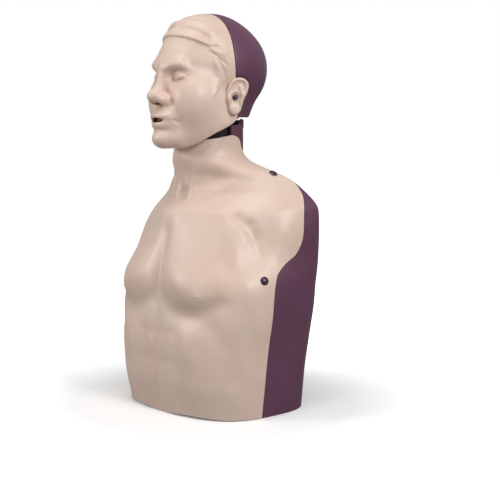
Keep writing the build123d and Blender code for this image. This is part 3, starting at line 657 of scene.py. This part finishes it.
def walled(name: str, rows: np.ndarray, form: Form, wall: float, rim: float) -> bpy.types.Object:
    """Gives a grid of points a wall on its inner side and rounds the edges all round."""
    g = slope_of(form, rows.reshape(-1, 3))
    g /= np.linalg.norm(g, axis=1, keepdims=True)
    inner = (rows.reshape(-1, 3) - wall * g).reshape(rows.shape)
    inner[..., 2] = np.maximum(inner[..., 2], rows[..., 2].min())
    n, m = rows.shape[:2]
    points = np.concatenate([rows.reshape(-1, 3), inner.reshape(-1, 3)])
    i, j = np.meshgrid(np.arange(n - 1), np.arange(m - 1), indexing="ij")
    a = (i * m + j).ravel()
    outer = np.stack([a, a + m, a + m + 1, a + 1], 1)
    inside = outer[:, ::-1] + n * m
    ring = np.concatenate([np.arange(m), np.arange(1, n) * m + m - 1,
                           (n - 1) * m + np.arange(m - 2, -1, -1), np.arange(n - 2, 0, -1) * m])
    nxt = np.roll(ring, -1)
    edge = np.stack([ring, nxt, nxt + n * m, ring + n * m], 1)
    obj = piece(name, points, np.concatenate([outer, inside, edge]), 60)
    apply_modifier(obj, "BEVEL", width=rim / 1000, segments=3, limit_method="ANGLE",
                   angle_limit=np.radians(55))
    bpy.ops.object.shade_smooth_by_angle(angle=np.radians(60))
    return obj


# Finishes
def linear(code: str) -> tuple[float, float, float, float]:
    """An sRGB hex colour as Blender's linear colour."""
    c = [int(code[i:i + 2], 16) / 255 for i in (1, 3, 5)]
    return (*[v / 12.92 if v <= 0.04045 else ((v + 0.055) / 1.055) ** 2.4 for v in c], 1.0)


def node(tree: bpy.types.NodeTree, kind: str, links: dict[str, object] | None = None,
         **settings: object) -> bpy.types.Node:
    """Adds a node, sets its properties and input values, and links its inputs.

    Args:
        tree: the material's node tree.
        kind: the node's type.
        links: input name to an output socket of another node, or to a value.
        settings: properties of the node itself.

    Returns:
        The new node.
    """
    n = tree.nodes.new(kind)
    for k, v in settings.items():
        setattr(n, k, v)
    for k, v in (links or {}).items():
        if isinstance(v, bpy.types.NodeSocket):
            tree.links.new(v, n.inputs[k])
        else:
            n.inputs[k].default_value = v
    return n


@dataclass(frozen=True)
class Finish:
    """A moulded surface with a soft mottle in its colour and a fine grain.

    Attributes:
        slot: the record's slot.
        colour, shade: sRGB colour, and the one that it drifts to.
        roughness: how dull it is.
        patch_mm: size of the mottle.
        grain_mm, grain_depth_mm: size and depth of the moulded grain.
        ior, metallic, under: index, metal share, and share of light that goes under the surface.
        alpha: how solid a film is.
    """

    slot: str
    colour: str
    shade: str
    roughness: float
    patch_mm: float = 60.0
    grain_mm: float = 1.2
    grain_depth_mm: float = 0.03
    ior: float = 1.5
    metallic: float = 0.0
    under: float = 0.0
    alpha: float = 1.0

    def material(self) -> bpy.types.Material:
        """Builds the material, once for each slot."""
        found = bpy.data.materials.get("finish_" + self.slot)
        if found:
            return found
        m = bpy.data.materials.new("finish_" + self.slot)
        m.use_nodes = True
        tree = m.node_tree
        tree.nodes.clear()
        where = node(tree, "ShaderNodeTexCoord").outputs["Object"]
        patch = node(tree, "ShaderNodeTexNoise", {
            "Vector": where, "Scale": 1000 / self.patch_mm, "Detail": 3.0, "Roughness": 0.55})
        tone = node(tree, "ShaderNodeValToRGB", {"Fac": patch.outputs["Fac"]})
        low, high = tone.color_ramp.elements
        low.position, high.position = 0.36, 0.68
        low.color, high.color = linear(self.shade), linear(self.colour)
        grain = node(tree, "ShaderNodeTexNoise", {
            "Vector": where, "Scale": 1000 / self.grain_mm, "Detail": 2.0})
        bump = node(tree, "ShaderNodeBump", {"Height": grain.outputs["Fac"], "Strength": 0.5,
                                             "Distance": self.grain_depth_mm / 1000})
        rough = node(tree, "ShaderNodeMapRange", {
            "Value": patch.outputs["Fac"], "From Min": 0.3, "From Max": 0.7,
            "To Min": self.roughness - 0.04, "To Max": self.roughness + 0.04})
        shader = node(tree, "ShaderNodeBsdfPrincipled", {
            "Base Color": tone.outputs["Color"], "Roughness": rough.outputs["Result"],
            "Normal": bump.outputs["Normal"], "IOR": self.ior, "Metallic": self.metallic,
            "Subsurface Weight": self.under, "Alpha": self.alpha})
        if self.under:
            shader.inputs["Subsurface Radius"].default_value = (1.0, 0.55, 0.35)
            shader.inputs["Subsurface Scale"].default_value = 0.004
        node(tree, "ShaderNodeOutputMaterial", {"Surface": shader.outputs["BSDF"]})
        return m

    def dress(self, obj: bpy.types.Object) -> bpy.types.Object:
        """Puts the finish on a piece."""
        obj.data.materials.clear()
        obj.data.materials.append(self.material())
        return obj


# plasticised PVC, slush moulded: soft satin, a little light goes under it
VINYL = Finish("skin", "#E9D1C1", "#E3C7B6", 0.42, 90.0, 0.9, 0.02, 1.53, under=0.12)
# ABS, injection moulded in a spark-eroded tool: even and dull
SHELL = Finish("purple_shell", "#673D57", "#623951", 0.45, 90.0, 1.0, 0.04, 1.54)
# ABS, polished tool: the pegs catch a small highlight
PEG = Finish("purple_peg", "#43293F", "#3B2438", 0.26, 8.0, 2.0, 0.01, 1.54)
DARK = Finish("dark_plastic", "#2A2128", "#231B22", 0.6, 20.0, 1.0, 0.03, 1.5)
GREY = Finish("grey_plastic", "#86888C", "#7C7E82", 0.5, 40.0, 1.0, 0.03, 1.5)
WHITE = Finish("white_plastic", "#E4E3DF", "#D9D8D3", 0.45, 40.0, 1.0, 0.03, 1.5)
STEEL = Finish("steel", "#C4C5C7", "#B4B6B9", 0.32, 6.0, 0.4, 0.01, 1.5, 1.0)
SPRING = Finish("spring_steel", "#9A9CA0", "#85878B", 0.36, 6.0, 0.4, 0.01, 1.5, 1.0)
RUBBER = Finish("rubber", "#232325", "#1C1C1E", 0.75, 10.0, 0.8, 0.04, 1.52)
FILM = Finish("bag", "#DCE4EA", "#D2DCE4", 0.25, 30.0, 3.0, 0.05, 1.51, alpha=0.75)
HOSE = Finish("hose", "#C6CDD0", "#B9C1C5", 0.4, 20.0, 1.0, 0.01, 1.43)
FINISHES = {f.slot: f for f in (VINYL, SHELL, PEG, DARK, GREY, WHITE, STEEL, SPRING, RUBBER, FILM, HOSE)}


# The torso
def press_share(p: np.ndarray) -> np.ndarray:
    """How far the skin follows the chest plate at each point: all the way over it, not at all at the hems.

    Args:
        p: points in working mm.

    Returns:
        Share of the plunger's motion.
    """
    ax, y, z = np.abs(p[:, 0]), p[:, 1], p[:, 2]
    across = 1 - step_up(ax, 84, 140)
    up = step_up(z, 52, 112) * (1 - step_up(z, 262, 322))
    return across * up * (1 - step_up(y, -46, -20))


def follow_plate(obj: bpy.types.Object) -> None:
    """Bakes a piece's transform and works out how far its points would follow the chest plate; nothing uses the
    result.
    """
    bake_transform(obj)
    co = np.zeros(len(obj.data.vertices) * 3, np.float32)
    obj.data.vertices.foreach_get("co", co)
    p = co.reshape(-1, 3).astype(float) * 1000 - (0.0, SHIFT, 0.0)
    press_share(p).astype(np.float32)


@dataclass
class ChestSkin:
    """The vinyl skin of chest and neck, clipped over the back shell.

    Attributes:
        form: the trunk that it lies on.
        wall: thickness of the vinyl, mm.
        hem: height of the lower edge above the base, mm.
        top: height of the collar on the neck axis, mm.
        collar: radius of the collar's back corner, mm.
        lean: how much longer that corner is along Y than up.
        tip: radius of a nipple, mm.
    """

    form: TorsoForm
    wall: float = 3.4
    hem: float = 0.8
    top: float = 456.0
    collar: float = 15.0
    lean: float = 1.7
    tip: float = 3.2

    def edge(self, z: float) -> float:
        """Y of the skin's edge at a height, with the rounded corner of the collar."""
        over = max(0.0, z - (self.top - self.collar))
        drop = self.collar - np.sqrt(max(0.0, self.collar**2 - over**2))
        return float(BODY_SEAM(z)) - HALF_GAP - self.lean * drop

    def tilt(self, z: float) -> float:
        """The rows lean back towards the collar."""
        return float(np.interp(z, [372, 402, 422, self.top], [0.0, 0.035, 0.10, 0.15]))

    def build(self) -> bpy.types.Object:
        """Makes the skin with its nipples."""
        levels = np.concatenate([np.linspace(self.hem, 340, 112), np.linspace(342.5, self.top, 50)])
        ring = Fold([(97.5, -105.6, 203.0)], 9.0, 1.3)
        ring.snap(self.form)

        def dressed(x: np.ndarray, y: np.ndarray, z: np.ndarray) -> np.ndarray:
            """The form with a soft rise round each nipple."""
            return self.form(x, y, z) - ring(np.abs(x), y, z)

        rows = sheet_rows(dressed, self.form.plain, levels, self.edge, self.tilt, 190, True)
        wave = 1.6 * (1 - np.cos(rows[..., 0] / 24)) * np.exp(-rows[..., 2] / 14)
        rows[..., 2] += np.where(rows[..., 1] < -20, wave, 0)
        skin = walled("chest_and_neck_skin", rows, dressed, self.wall, 1.1)
        tips = []
        for side in (-1, 1):
            x, y, z = ring.line[0]
            bpy.ops.mesh.primitive_uv_sphere_add(segments=20, ring_count=12, radius=self.tip / 1000)
            tips.append(lay((1, 1, 1), tuple(to_row((side * (x - 0.8), y + 0.9, z)))))
            bpy.ops.object.shade_smooth()
        pick(*tips, skin)
        bpy.ops.object.join()
        return skin


@dataclass
class BackShell:
    """The purple moulded shell of the back, from its foot to the shoulders that close round the neck post.

    Attributes:
        form: the trunk that it follows, without the folds of the skin.
        wall: thickness of the moulding, mm.
        top: height of the shoulders' upper edge, mm.
        shut: share of their width that the shoulders keep where they close.
    """

    form: TorsoForm
    wall: float = 3.6
    top: float = 424.0
    shut: float = 0.55

    def edge(self, z: float) -> float:
        """Y of the shell's edge at a height."""
        return float(BODY_SEAM(z)) + HALF_GAP

    def build(self) -> bpy.types.Object:
        """Makes the wall with its rounded edges."""
        levels = np.concatenate([np.linspace(0.0, 330, 60), np.linspace(334, self.top, 34)])
        rows = sheet_rows(self.form.plain, self.form.plain, levels, self.edge, lambda z: 0.0, 90, False)
        last = rows[-1].copy()
        last[:, :2] *= self.shut
        last[:, 1] += (1 - self.shut) * self.edge(self.top)
        rows = np.concatenate([rows, last[None]])
        return walled("back_shell_wall", rows, self.form.plain, self.wall, 1.0)


@dataclass
class Torso:
    """The soft pieces of the torso: skin, lung bag, airway hose and spring."""

    form: TorsoForm = field(default_factory=TorsoForm)

    def build(self) -> None:
        """Makes the skin, and puts smooth copies of the CAD bag, hose and spring in place of their CAD nodes."""
        skin = VINYL.dress(ChestSkin(self.form).build())
        follow_plate(skin)
        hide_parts("chest_skin")
        log.info("chest skin: %d faces", len(skin.data.polygons))
        bag = FILM.dress(copy_of("lung_bag"))
        follow_plate(bag)
        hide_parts("lung_bag")
        hose = HOSE.dress(copy_of("airway_hose"))
        tuple(to_row((0, -40, 405)))
        tuple(to_row((0, -62, 458)))
        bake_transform(hose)
        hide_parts("airway_hose")
        spring = SPRING.dress(copy_of("compression_spring"))
        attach(spring, Body.TORSO.value)
        tuple(to_row((0, SPRING_SEAT, PRESS_Z)))
        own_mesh(spring)
        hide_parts("compression_spring")
        log.info("bag, hose and spring copied from the frame")


def copy_of(name: str) -> bpy.types.Object:
    """A merged, smooth copy of a CAD node."""
    obj = frame["nodes"][name].copy()
    obj.data = obj.data.copy()
    for key in list(obj.keys()):
        del obj[key]
    obj.name, obj.parent = name + "_soft", None
    obj.matrix_world = Matrix.Identity(4)
    bpy.context.scene.collection.objects.link(obj)
    pick(obj)
    bpy.ops.object.mode_set(mode="EDIT")
    bpy.ops.mesh.select_all(action="SELECT")
    bpy.ops.mesh.remove_doubles(threshold=0.00001)
    bpy.ops.object.mode_set(mode="OBJECT")
    bpy.ops.object.shade_smooth_by_angle(angle=np.radians(40))
    return obj


# The head
@dataclass
class Head:
    """The face skin with its ears, the moulded back of the head, and dark cups of painted shade behind mouth and
    nostrils.

    Attributes:
        form: the head that they follow.
        pitch, back_pitch: size of a mesh cell on the face and on the back, mm.
    """

    form: HeadForm = field(default_factory=HeadForm)
    pitch: float = 1.5
    back_pitch: float = 1.8

    def build(self) -> None:
        """Makes the head's pieces."""
        f = self.form
        skin = surface(f.skin, (-93, -131, 428), (93, 32, 662), self.pitch)
        face = VINYL.dress(piece("face_skin_with_ears", *skin))
        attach(face, Body.HEAD.value)
        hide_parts("face_skin")
        log.info("face skin: %d faces", len(face.data.polygons))
        shell = surface(f.shell, (-80, -12, 483), (80, 109, 662), self.back_pitch)
        back = SHELL.dress(piece("back_of_head", *shell))
        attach(back, Body.HEAD.value)
        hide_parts("head_shell")
        log.info("back of head: %d faces", len(back.data.polygons))
        self.mouth()

    def mouth(self) -> None:
        """Dark red-brown cups behind the lips and the nostrils, where light barely reaches: painted shade for the
        hollows.
        """
        shade_paint = bpy.data.materials.new("painted_shade_red_brown")
        shade_paint.use_nodes = True
        shader = shade_paint.node_tree.nodes["Principled BSDF"]
        # painted shade: this dark red-brown stands for the shade inside the mouth and the nostrils
        shader.inputs["Base Color"].default_value = linear("#7A3B24")
        shader.inputs["Roughness"].default_value = 0.5
        for name, at, size in (("mouth_shade_cup", (0, -96, 481.2), (16.0, 11.0, 7.5)),
                               ("nostril_shade_cup", (0, -106.5, 510), (10.0, 4.5, 4.5))):
            bpy.ops.mesh.primitive_uv_sphere_add(segments=32, ring_count=16, radius=1.0)
            cup = lay(tuple(v / 1000 for v in size), tuple(to_row(at)))
            cup.name = name
            bpy.ops.object.shade_smooth()
            cup.data.materials.append(shade_paint)
            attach(cup, Body.HEAD.value)


# The studio
@dataclass
class Studio:
    """Pale floor, soft lights and the camera at the photograph's angle."""

    azimuth: float = 50.56          # degrees round from the chest
    distance: float = 2014.0        # mm from the neck axis
    height: float = 480.1           # mm
    lens_px: float = 1190.9         # focal length in pixels of the picture
    yaw: float = -1.93              # degrees that the camera looks past the neck axis
    pitch: float = -6.19            # degrees that it looks down
    room_light: float = 0.40        # strength of the white room for the part
    floor_glow: float = 0.12        # the floor's own glow under the part; 1 far from it
    glow_from: float = 0.24         # m from the middle where the glow begins to grow
    glow_full: float = 0.7          # m from the middle where it is full
    floor_back: float = 0.25        # grey of the floor for the light that it throws back
    floor_seen: float = 0.95        # grey of the floor as the camera sees it

    def seen_by_eye(self, tree: bpy.types.NodeTree) -> bpy.types.NodeSocket:
        """1 for what the camera sees directly or through clear film, 0 for light that falls on the part."""
        path = node(tree, "ShaderNodeLightPath")
        either = node(tree, "ShaderNodeMath", {
            0: path.outputs["Is Camera Ray"], 1: path.outputs["Is Transmission Ray"]}, operation="MAXIMUM")
        return either.outputs[0]

    def build(self) -> None:
        """Makes the stage, the lamps and the camera."""
        bpy.ops.mesh.primitive_plane_add(size=1.0)
        floor = lay((14, 14, 1), (0, 0, -0.0002))
        floor.name = "floor"
        pale = bpy.data.materials.new("pale_floor")
        pale.use_nodes = True
        tree = pale.node_tree
        shader = tree.nodes["Principled BSDF"]
        shader.inputs["Roughness"].default_value = 0.9
        shader.inputs["Emission Color"].default_value = (1, 1, 1, 1)
        where = node(tree, "ShaderNodeTexCoord").outputs["Object"]
        far = node(tree, "ShaderNodeVectorMath", {0: where}, operation="LENGTH")
        glow = node(tree, "ShaderNodeMapRange", {
            "Value": far.outputs["Value"], "From Min": self.glow_from, "From Max": self.glow_full,
            "To Min": self.floor_glow, "To Max": 1.0})
        seen = node(tree, "ShaderNodeMath", {0: self.seen_by_eye(tree), 1: glow.outputs["Result"]},
                    operation="MULTIPLY")
        tree.links.new(seen.outputs[0], shader.inputs["Emission Strength"])
        # the floor gives less light back to the part than the eye sees on it
        tone = node(tree, "ShaderNodeMix", {
            "Factor": self.seen_by_eye(tree), "A": (*[self.floor_back] * 3, 1.0),
            "B": (*[self.floor_seen] * 3, 1.0)}, data_type="RGBA")
        tree.links.new(tone.outputs["Result"], shader.inputs["Base Color"])
        floor.data.materials.append(pale)
        world = bpy.data.worlds.new("room")
        bpy.context.scene.world = world
        world.use_nodes = True
        tree = world.node_tree
        tree.nodes["Background"].inputs["Color"].default_value = (1, 1, 1, 1)
        bright = node(tree, "ShaderNodeMapRange", {
            "Value": self.seen_by_eye(tree), "To Min": self.room_light, "To Max": 1.0})
        tree.links.new(bright.outputs["Result"], tree.nodes["Background"].inputs["Strength"])
        for name, place, size, power in (("key_softbox", (2.5, -0.1, 1.7), 1.0, 35.0),
                                         ("front_softbox", (-1.3, -2.4, 1.1), 0.9, 24.0),
                                         ("top_softbox", (0.6, -0.6, 2.7), 1.0, 15.0)):
            lamp = bpy.data.lights.new(name, "AREA")
            lamp.shape, lamp.size, lamp.energy = "DISK", size, power
            obj = bpy.data.objects.new(name, lamp)
            bpy.context.scene.collection.objects.link(obj)
            obj.location = place
            obj.rotation_euler = (Vector((0, 0, 0.35)) - Vector(place)).to_track_quat("-Z", "Y").to_euler()
        self.camera()

    def camera(self) -> None:
        """Stands the camera where the photograph was taken from."""
        az = np.radians(self.azimuth)
        spot = to_row((self.distance * np.sin(az), -self.distance * np.cos(az), self.height))
        look = Matrix.Rotation(np.radians(self.yaw), 3, "Z") @ Vector((-np.sin(az), np.cos(az), 0))
        side = look.cross(Vector((0, 0, 1)))
        look = Matrix.Rotation(np.radians(self.pitch), 3, side) @ look
        cam = bpy.data.cameras.new("camera")
        cam.sensor_width, cam.lens = SENSOR, self.lens_px / PICTURE * SENSOR
        obj = bpy.data.objects.new("camera", cam)
        bpy.context.scene.collection.objects.link(obj)
        obj.location = spot
        obj.rotation_euler = look.to_track_quat("-Z", "Y").to_euler()
        bpy.context.scene.camera = obj
        bpy.context.scene.view_settings.view_transform = "Standard"


def dress_frame() -> None:
    """Gives every CAD node that stays the finish of its slot."""
    for part in frame["record"]["subparts"]:
        obj = frame["nodes"][part["node"]]
        obj.data.materials.clear()
        obj.data.materials.append(FINISHES[part["material_slot"]].material())


def main() -> None:
    """Builds the manikin and its studio in order."""
    logging.basicConfig(level=logging.INFO, format="%(name)s: %(message)s")
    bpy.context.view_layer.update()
    dress_frame()
    Torso().build()
    Head().build()
    wall = SHELL.dress(BackShell(TorsoForm()).build())
    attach(wall, Body.TORSO.value)
    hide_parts("back_shell")
    log.info("back shell: %d faces", len(wall.data.polygons))
    Studio().build()


if __name__ == "__main__":
    main()
